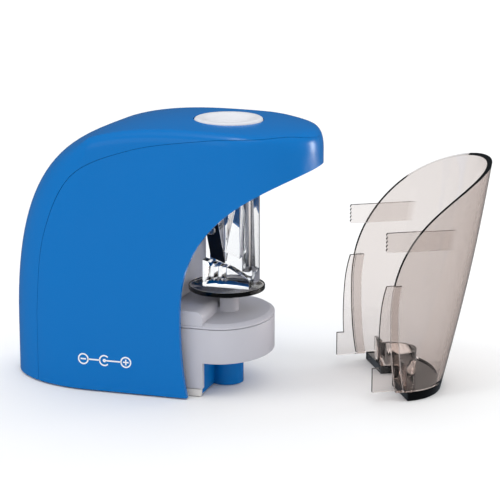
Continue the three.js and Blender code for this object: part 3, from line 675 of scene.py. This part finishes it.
def mouth_outline(shift=0.0, drop=None, steps=26):
    """(x, z) round everything in front of the mouth's edge. The edge moves in by shift and down by
    drop, which is shift if it isn't given."""
    drop = shift if drop is None else drop
    far = NOSE_X + 40
    lip, knee, foot = LIP_Z - drop, MOUTH_KNEE_Z - drop, MOUTH_FOOT_X + shift
    back = MOUTH_BACK_X + shift
    points = [(far, lip)]
    points += bezier((NOSE_X + 3.8 + shift, lip), (NOSE_X - 26.2 + shift, lip - 10.7),
                     (back, lip - 27.2), (back, knee), steps)
    points += bezier((back, knee), (back, knee - 16), (foot - 2.2, 8), (foot, -0.5), steps // 2)
    return points + [(foot, -0.5), (foot, -20), (far, -20)]


def seam_outline(inset):
    """(x, z) round the side shells, from smooth curves through the seam's turning points."""
    x0 = SEAM_X + inset
    top = SEAM_TOP_Z - inset
    far = NOSE_X + 20
    turns = [(x0, 30), (x0 + 3.8, HEIGHT - 49.4 - inset), (x0 + 17.6, HEIGHT - 22.4 - inset),
             (SEAM_X + 43.5, HEIGHT - 9.8 - inset), (0, top - 1.2), (NOSE_X - 18, top),
             (NOSE_X - 5.5, top - 0.7), (NOSE_X + 3, top - 5.5), (far, top - 20)]
    return [(far, -20), (x0, -20)] + smooth_line(turns, 12)


# %% The body's shells
ACROSS = (-HALF_WIDTH - 5, HALF_WIDTH + 5)
GUIDE_AT = ((guide_low[0] + guide_high[0]) / 2, 0.0)
GUIDE_RADIUS = (guide_high[1] - guide_low[1]) / 2
jack_low, jack_high = cad_mm("dc_jack")

shell = body_form("top_band_skin", 0, SHELL_FOOT)
carve(
    shell,
    body_form("hollow_tool", WALL, -5),
    extruded("mouth_tool", mouth_outline(), *ACROSS, "Y"),
    extruded("guide_tool", circle(GUIDE_RADIUS + GAP, GUIDE_AT, 64), HEIGHT - 11, HEIGHT + 5, "Z"),
    box_piece("jack_tool", (BACK_X - 5, jack_low[0] + 6), (jack_low[1] - GAP, jack_high[1] + GAP),
              (jack_low[2] - GAP, jack_high[2] + GAP)))
SEAM_GAP = 0.14
left_skin = copy_of(shell, "left_shell_skin")
carve(shell, extruded("seam_tool", seam_outline(0), *ACROSS, "Y"))
carve(left_skin, extruded("side_tool", seam_outline(SEAM_GAP), *ACROSS, "Y"), how="INTERSECT")
right_skin = copy_of(left_skin, "right_shell_skin")
HALF_SEAM = 0.12
carve(left_skin, box_piece("left_tool", (-200, 200), (HALF_SEAM, 100), (-50, 200)), how="INTERSECT")
carve(right_skin, box_piece("right_tool", (-200, 200), (-100, -HALF_SEAM), (-50, 200)), how="INTERSECT")
finish_piece(smooth(shell), "body", blue_gloss, ["top_band"])
finish_piece(smooth(left_skin), "body", blue_gloss, ["left_shell"])
finish_piece(smooth(right_skin), "body", blue_gloss, ["right_shell"])

# %% [markdown]
# The pencil guide
# A white dished ring, turned about the pencil's line: a soft outer roll, a shallow dish and a bore
# with a lead-in, so a pencil finds its own way down.

# %% The pencil guide
BORE = 4.0
GUIDE_TOP = guide_high[2]
GUIDE_SEAT = guide_low[2] + 2.5


def arc(centre, radius, start, end, steps):
    """(a, b) points along part of a circle, angles in degrees."""
    angles = [math.radians(start + (end - start) * i / steps) for i in range(steps + 1)]
    return [(centre[0] + radius * math.cos(a), centre[1] + radius * math.sin(a)) for a in angles]


guide_profile = [(BORE, guide_low[2]), (BORE + 2.2, guide_low[2]), (BORE + 3, GUIDE_SEAT),
                 (GUIDE_RADIUS - 0.8, GUIDE_SEAT), (GUIDE_RADIUS, GUIDE_SEAT + 0.8)]
guide_profile += arc((GUIDE_RADIUS - 1.3, GUIDE_TOP - 1.3), 1.3, 0, 90, 8)
guide_profile += bezier((GUIDE_RADIUS - 2.6, GUIDE_TOP), (GUIDE_RADIUS - 5, GUIDE_TOP - 0.1),
                        (GUIDE_RADIUS - 5.5, GUIDE_TOP - 2.1), (BORE + 2.2, GUIDE_TOP - 2.5), 12)
guide_profile += arc((BORE + 1.6, GUIDE_TOP - 4.1), 1.6, 80, 180, 8)
guide = turned("pencil_guide_ring", guide_profile, GUIDE_AT)
finish_piece(smooth(guide, 50), "body", guide_white, ["pencil_guide"])

# %% [markdown]
# The cutter's disc and carrier
# The head turns on a clear disc with a rolled rim. On it stands the clear carrier: an upright block
# with a slot down its back, a slanting fin, and a windowed plinth that lets shavings out. The pencil's
# cone is bored down its middle, and the blade lies across the side of the cone.

# %% The cutter disc
DISC_R = (disc_high[1] - disc_low[1]) / 2
DISC_TOP = disc_high[2]
DISC_LOW = disc_low[2]
disc_profile = [(0.35, DISC_LOW), (DISC_R - 2.2, DISC_LOW)]
disc_profile += arc((DISC_R - 0.55, DISC_LOW + 0.55), 0.55, -90, 0, 5)
disc_profile += arc((DISC_R - 0.35, DISC_TOP - 0.35), 0.35, 0, 90, 4)
disc_profile += [(DISC_R - 1.1, DISC_TOP), (DISC_R - 1.4, DISC_TOP - 0.3), (0.35, DISC_TOP - 0.3)]
disc = turned("cutter_disc_clear", disc_profile)
finish_piece(smooth(disc, 50), "cutter", disc_clear, ["cutter_disc"])

# %% The cutter carrier
carrier_low, carrier_high = cad_mm("cutter_carrier")
NEAR = -3.2
FAR = carrier_high[1]
LEFT, RIGHT = carrier_low[0], carrier_high[0]
CARRIER_TOP = carrier_high[2]
CARRIER_FOOT = carrier_low[2]
CONE_TIP = DISC_TOP + 10.0
CONE_TAN = math.tan(math.radians(10.5))
cone_top = CONE_TIP + BORE / CONE_TAN
column_side = [(LEFT, CARRIER_FOOT), (RIGHT, CARRIER_FOOT), (RIGHT, CARRIER_TOP), (LEFT + 1.5, CARRIER_TOP),
               (LEFT, CARRIER_TOP - 18)]
carrier = extruded("cutter_carrier_clear", column_side, NEAR, FAR, "Y")
plinth_side = [(LEFT, CARRIER_FOOT), (RIGHT, CARRIER_FOOT), (RIGHT, DISC_TOP + 4), (4, DISC_TOP + 8.5),
               (LEFT, DISC_TOP + 11.5)]
fin_side = [(1.6, DISC_TOP + 15.5), (8, DISC_TOP + 13), (8, CARRIER_TOP - 4), (5, CARRIER_TOP - 4)]
NEAREST = carrier_low[1]
carve(carrier, extruded("plinth", plinth_side, NEAREST, NEAR + 1, "Y"),
      extruded("fin", fin_side, NEAREST, NEAR + 0.5, "Y"), how="UNION")
bore_rings = [[(x, y, z) for x, y in circle(r, sides=40)] for r, z in (
    (0.4, CONE_TIP), (BORE + 0.3, cone_top), (BORE + 0.3, CARRIER_TOP + 1))]
windows = [box_piece("window", (x, x + 2.2), (NEAREST - 1, NEAR + 3), (DISC_TOP + 3, DISC_TOP + 9))
           for x in (-6.6, -3.2, 0.2)]
carve(carrier, loft("pencil_bore", bore_rings), *windows,
      box_piece("back_slot", (7.2, 10), (NEAR + 2, FAR + 1), (DISC_TOP + 6, CARRIER_TOP - 6)))
round_edges(carrier, 0.35)
finish_piece(smooth(carrier), "cutter", cutter_clear, ["cutter_carrier"])

# %% [markdown]
# The blade
# A plate of blackened steel with a ground bevel along its cutting edge, held by one bright screw.

# %% The blade and its screw
blade_low, blade_high = cad_mm("blade")
BLADE_WIDTH, BLADE_LENGTH = 5.8, 29.0
BLADE_SLANT = 2.9
LEAN = math.radians(11)
BLADE_FOOT = (-2.6, DISC_TOP + 12.2)


def leaning(u, v):
    """(x, z) of a point on the blade, from its foot, with the blade's lean."""
    return (u * math.cos(LEAN) - v * math.sin(LEAN) + BLADE_FOOT[0],
            u * math.sin(LEAN) + v * math.cos(LEAN) + BLADE_FOOT[1])


blade_rings = []
for depth, grind in ((blade_low[1], 0.0), (blade_high[1], 1.1)):
    half = BLADE_WIDTH / 2
    corners = [(-half, 0.3), (-half + 0.5, 0), (half - grind, -BLADE_SLANT), (half - grind, BLADE_LENGTH),
               (-half, BLADE_LENGTH)]
    blade_rings.append([(leaning(u, v)[0], depth, leaning(u, v)[1]) for u, v in corners])
blade = round_edges(loft("blade_ground", blade_rings), 0.08, 1)
screw_low, screw_high = cad_mm("blade_screw")
screw_x = (screw_low[0] + screw_high[0]) / 2
screw_z = (screw_low[2] + screw_high[2]) / 2
carve(blade, extruded("blade_hole", circle(1.4, (screw_x, screw_z), 24), -9, 0, "Y"))
finish_piece(smooth(blade), "cutter", black_steel, ["blade"])

head_back = blade_low[1] - GAP
screw_head = []
for radius, rise in ((2.0, 0), (2.0, 0.55), (1.75, 0.95), (1.2, 1.2)):
    y = head_back - rise
    screw_head.append([(x, y, z) for x, z in circle(radius, (screw_x, screw_z), 28)])
screw = loft("blade_screw_head", screw_head)
ARM, HALF_SLOT = 1.25, 0.28
for name, wide, tall in (("slot_a", ARM, HALF_SLOT), ("slot_b", HALF_SLOT, ARM)):
    carve(screw, box_piece(name, (screw_x - wide, screw_x + wide), (-9, head_back - 0.6),
                           (screw_z - tall, screw_z + tall)))
carve(screw, extruded("shank", circle(1.1, (screw_x, screw_z), 20), head_back - 0.4, screw_high[1], "Y"),
      how="UNION")
finish_piece(smooth(screw), "cutter", bright_steel, ["blade_screw"])

# %% [markdown]
# The drawer
# The drawer is modelled where it sits when it is pushed home, because there its lines follow the
# body's, and it is then turned about its swing line into the pulled-off place.

# %% The drawer's place
swing = next(j for j in frame["joints"] if j["name"] == "drawer_swing")
POLE = Vector(swing["pos_m"])
PULLED_OFF = Matrix.Rotation(math.radians(-swing["range_deg"][0]), 4, "Z")
to_rest = Matrix.Translation(POLE) @ PULLED_OFF @ Matrix.Translation(-POLE)
DRAWER_WALL = 2.0
TIP_Z = 97.0
FOOT_X = 19.0
SOLE_BACK_X = -3.0
SOLE_TOP = 3.5


def drawer_form(name, inset, low, high, levels=30, around=44):
    """Half ovals stacked up: the front leans out and bulges a little with height."""
    rings = []
    for i in range(levels + 1):
        z = low + (high - low) * i / levels
        share = z / TIP_Z
        start = SOLE_BACK_X + (NOSE_OVAL_X - SOLE_BACK_X) * share
        bulge = 1.6 * math.sin(math.pi * min(max(share, 0), 1))
        front = FOOT_X + (NOSE_X - FOOT_X) * share + bulge - inset
        ring = [(-40, -HALF_WIDTH + inset, z)]
        for j in range(around + 1):
            angle = (j / around - 0.5) * math.pi
            ring.append((start + (front - start) * math.cos(angle),
                         (HALF_WIDTH - inset) * math.sin(angle), z))
        ring.append((-40, HALF_WIDTH - inset, z))
        rings.append(ring)
    return loft(name, rings)


# %% The drawer's side fittings
RIM_GAP = 0.35
FLANGE_OUT = HALF_WIDTH - 2.7
FLANGE_THICK = 1.4
FLANGE_TOP = 48.0
TONGUE_Z, TONGUE_HIGH, TONGUE_TIP, TONGUE_ROOT = 62.0, 8.0, -12.0, 18.0
WALL_FOOT = SOLE_TOP + GAP


def sided(low, high, side):
    """A span across the width, mirrored to the near side when side is below 0."""
    return (-high, -low) if side < 0 else (low, high)


def crossing(outline, level):
    """x where an outline that runs downwards passes a height."""
    for (xa, za), (xb, zb) in zip(outline[1:], outline[2:]):
        if za >= level >= zb and za > zb:
            return xa + (xb - xa) * (za - level) / (za - zb)


def edge_strip(name, start, end, y, z, taper=0.0):
    """A strip that follows the mouth's edge, between two distances from it and two heights. It
    narrows by taper at its upper end."""
    outer, inner = mouth_outline(start, 0, 60), mouth_outline(end, 0, 60)
    shares = [i / 20 for i in range(21)]
    levels = [z[0] + (z[1] - z[0]) * share for share in shares]
    left = [(crossing(outer, level) + taper * share**2, level) for level, share in zip(levels, shares)]
    right = [(crossing(inner, level), level) for level in reversed(levels)]
    return extruded(name, left + right, *y, "Y")


def side_fittings(side):
    """The rail, its pad, its tab and the notched tongue on one side of the drawer."""
    tag = "far" if side > 0 else "near"
    flange_y = sided(FLANGE_OUT - FLANGE_THICK, FLANGE_OUT, side)
    pad_y = sided(FLANGE_OUT - 0.1, HALF_WIDTH - DRAWER_WALL + 0.1, side)
    flange = edge_strip(f"{tag}_flange", -4.5, 4, flange_y, (WALL_FOOT, FLANGE_TOP), 2.4)
    pad = edge_strip(f"{tag}_pad", RIM_GAP + 0.4, 4, pad_y, (WALL_FOOT, FLANGE_TOP))
    tab = box_piece(f"{tag}_tab", (MOUTH_BACK_X - 6.5, MOUTH_BACK_X + 1), flange_y,
                    (WALL_FOOT, WALL_FOOT + 10))
    tongue_out = HALF_WIDTH - 3.1
    notches = 5
    pitch = TONGUE_HIGH / notches
    teeth = []
    for i in range(notches):
        teeth += [(TONGUE_TIP + 0.5, TONGUE_Z + i * pitch), (TONGUE_TIP, TONGUE_Z + (i + 0.5) * pitch)]
    teeth.append((TONGUE_TIP + 0.5, TONGUE_Z + TONGUE_HIGH))
    tongue = extruded(f"{tag}_tongue",
                      teeth + [(TONGUE_ROOT, TONGUE_Z + TONGUE_HIGH), (TONGUE_ROOT, TONGUE_Z)],
                      *sided(tongue_out - 1.3, tongue_out, side), "Y")
    return [flange, pad, tab, tongue]


# %% The drawer's clear shell
bowl = drawer_form("drawer_shell_clear", 0, WALL_FOOT, TIP_Z + 3)
carve(bowl, drawer_form("bowl_tool", DRAWER_WALL, WALL_FOOT - 1, TIP_Z + 4))
carve(bowl, extruded("rim_tool", mouth_outline(RIM_GAP, steps=40), *ACROSS, "Y"), how="INTERSECT")
carve(bowl, *side_fittings(-1), *side_fittings(1), how="UNION")
bowl.data.transform(to_rest)
finish_piece(smooth(bowl), "drawer", smoky_clear, ["drawer_shell"])

# %% The drawer's sole, darkened with painted shade
ARCH_R = 8.2
ARCH_OUT = ARCH_R + 1.6
ARCH_TOP = 13.6
SEATED_GAP = 0.04
# Painted shade: this real base piece is tinted far darker than the drawer, for the shadow under it and its
# dark edge.
sole = drawer_form("drawer_sole_painted_shade", 0, 0, SOLE_TOP - SEATED_GAP, levels=4)
carve(sole, box_piece("sole_tool", (SOLE_BACK_X, 60), (-50, 50), (-1, 30)), how="INTERSECT")
ARCH_FOOT = SOLE_TOP + 0.05
arch = extruded("drawer_arch_clear", circle(ARCH_OUT, sides=64), ARCH_FOOT, ARCH_TOP, "Z")
carve(arch, box_piece("arch_legs", (SOLE_BACK_X, 0), (-ARCH_OUT, ARCH_OUT), (ARCH_FOOT, ARCH_TOP)),
      how="UNION")
carve(arch, box_piece("arch_keep", (SOLE_BACK_X, 40), (-50, 50), (0, 50)), how="INTERSECT")
clips = [box_piece("clip", (SOLE_BACK_X + 0.8, SOLE_BACK_X + 2.2), sided(13.5, 21, side), (ARCH_FOOT, 13))
         for side in (-1, 1)]
boss_way = extruded("boss_way", circle(ARCH_R, sides=64), -1, ARCH_TOP + 1, "Z")
carve(boss_way, box_piece("boss_slot", (-30, 0), (-ARCH_R, ARCH_R), (-1, ARCH_TOP + 1)), how="UNION")
carve(sole, boss_way, keep=True)
carve(arch, *clips, how="UNION")
carve(arch, boss_way)
round_edges(sole, 0.35)
round_edges(arch, 0.2)
for piece in (sole, arch):
    piece.data.transform(to_rest)
finish_piece(smooth(sole), "drawer", sole_shade_clear, ["drawer_base"])
finish_piece(smooth(arch), "drawer", smoky_clear)

# %% [markdown]
# The polarity mark
# The side carries the usual mark for a centre-positive power socket, printed in white: minus, the
# socket's ring and pin, and plus, joined by a line. The ink is a film, so each stroke is a flat strip
# laid a hair proud of the skin and wrapped onto its curve.

# %% The polarity mark
INK = 0.07
STROKE = 0.58
MARK_Z = 13.6
MARK_R = 2.1
MINUS_X, RING_X, PLUS_X = -52.6, -43.3, -33.9


def skin_y(x):
    """Y of the right side's skin at x."""
    share = min((x - BACK_OVAL_X) / (BACK_X - BACK_OVAL_X), 1) if x < BACK_OVAL_X else 0
    return -HALF_WIDTH * min(math.sqrt(1 - share * share) / math.sin(STEEPEST), 1)


def ink_strip(path, closed=False):
    """Points on both sides of a path in (x, z), as a band of quads on the skin."""
    count = len(path)
    rows = []
    for i, (x, z) in enumerate(path):
        ahead = path[(i + 1) % count] if closed or i + 1 < count else path[i]
        behind = path[i - 1] if closed or i > 0 else path[i]
        run = Vector((ahead[0] - behind[0], ahead[1] - behind[1])).normalized()
        side = Vector((-run.y, run.x)) * STROKE / 2
        rows.append([(x + side.x, z + side.y), (x - side.x, z - side.y)])
    return rows


mark_points, mark_faces = [], []


def lay_ink(rows, closed=False):
    first = len(mark_points)
    for row in rows:
        for depth in (INK, -INK):
            for x, z in row:
                mark_points.append((x, skin_y(x) - depth, z))
    count = len(rows)
    for i in range(count if closed else count - 1):
        a, b = first + 4 * i, first + 4 * ((i + 1) % count)
        for j, k in ((0, 1), (1, 3), (3, 2), (2, 0)):
            mark_faces.append((a + j, a + k, b + k, b + j))
    if not closed:
        end = first + 4 * (count - 1)
        mark_faces.append((first, first + 1, first + 3, first + 2))
        mark_faces.append((end, end + 1, end + 3, end + 2))


def line(start, end, steps=6):
    return [(start[0] + (end[0] - start[0]) * i / steps, start[1] + (end[1] - start[1]) * i / steps)
            for i in range(steps + 1)]


for centre in (MINUS_X, PLUS_X):
    lay_ink(ink_strip(circle(MARK_R, (centre, MARK_Z), 40), closed=True), closed=True)
    lay_ink(ink_strip(line((centre - 1.2, MARK_Z), (centre + 1.2, MARK_Z))))
for half in (-1, 1):
    lay_ink(ink_strip(line((PLUS_X, MARK_Z + 0.25 * half), (PLUS_X, MARK_Z + 1.2 * half))))
lay_ink(ink_strip(arc((RING_X, MARK_Z), MARK_R, 45, 315, 30)))
PIN_R = 0.42
lay_ink(ink_strip(circle(PIN_R, (RING_X, MARK_Z), 20), closed=True), closed=True)
lay_ink(ink_strip(line((MINUS_X + MARK_R, MARK_Z), (RING_X - MARK_R, MARK_Z))))
lay_ink(ink_strip(line((RING_X + 0.8, MARK_Z), (PLUS_X - MARK_R, MARK_Z))))
mark = mesh_piece("polarity_mark", mark_points, mark_faces)
finish_piece(mark, "body", print_white)

# %% [markdown]
# Everything else
# The remaining pieces already have the right shape. Each visible one is copied, its facets are merged
# and its edges rounded. Pieces that the body hides keep their CAD mesh and only get a finish.


# %% Refine the visible pieces
def refined(node, body, material, width=0.3, angle=32):
    """A copy of a CAD node with rounded edges, standing in its place."""
    source = frame["nodes"][node]
    piece = source.copy()
    piece.data = source.data.copy()
    piece.name = node + "_fine"
    for key in list(piece.keys()):
        del piece[key]
    piece.parent = None
    scene.collection.objects.link(piece)
    work = bmesh.new()
    work.from_mesh(piece.data)
    bmesh.ops.remove_doubles(work, verts=work.verts, dist=2e-6)
    bmesh.ops.dissolve_limit(work, angle_limit=math.radians(0.6), verts=work.verts, edges=work.edges)
    work.to_mesh(piece.data)
    work.free()
    if width:
        round_edges(piece, width, angle=angle)
    return finish_piece(smooth(piece), body, material, [node])


for node, body, material, slot, width in (
        ("gear_case", "body", grey_satin, "housing_grey", 0.35),
        ("front_bulkhead", "body", grey_satin, "housing_grey", 0.2),
        ("base_plate", "body", blue_gloss, "body_blue", 0.3),
        ("cutter_hub", "cutter", black_steel, "dark_steel", 0.2),
        ("cutter_shaft", "cutter", bright_steel, "steel", 0.2),
        ("guide_bridge", "body", grey_satin, "housing_grey", 0.3),
        ("upper_bush", "body", nylon, "nylon", 0.2),
        ("guide_sleeve", "body", guide_white, "guide_white", 0.2),
        ("leg_pad_1", "body", pad_white, "guide_white", 0.4),
        ("leg_pad_2", "body", pad_white, "guide_white", 0.4),
        ("battery_door", "body", blue_gloss, "body_blue", 0.25),
        ("dc_jack", "body", black_plastic, "black_rubber", 0.3),
        ("drawer_switch_plunger", "plunger", guide_white, "guide_white", 0.25)):
    refined(node, body, material, width)
refined("gear_case_cover", "body", grey_satin, 0.35, angle=24)
for number in (1, 2, 3, 4):
    refined(f"foot_{number}", "body", rubber, 0.25)
    refined(f"base_screw_{number}", "body", bright_steel, 0.1)

# %% Finish the hidden pieces
hidden_finish = {
    "battery_holder": grey_satin, "cell_contact": bright_steel, "cell_bridge": bright_steel,
    "cell": cell_sleeve, "motor_can": bright_steel, "motor_end": black_plastic, "motor_shaft": bright_steel,
    "motor_pinion": brass, "motor_terminal": brass, "motor_driver": black_plastic, "idler_axle": bright_steel,
    "idler_gear": nylon, "cutter_gear": nylon, "lower_bush": brass, "thrust_washer": bright_steel,
    "control_board": solder_mask, "drawer_switch": black_plastic, "start_switch": black_plastic,
    "pencil_lever": guide_white, "lever_pin": bright_steel}
for node, obj in frame["nodes"].items():
    if obj.hide_render:
        continue
    material = next(m for start, m in hidden_finish.items() if node.startswith(start))
    obj.data.materials.clear()
    obj.data.materials.append(material)
    print(node, "keeps its CAD mesh, in", material.name)

# %% The end
bpy.context.view_layer.update()
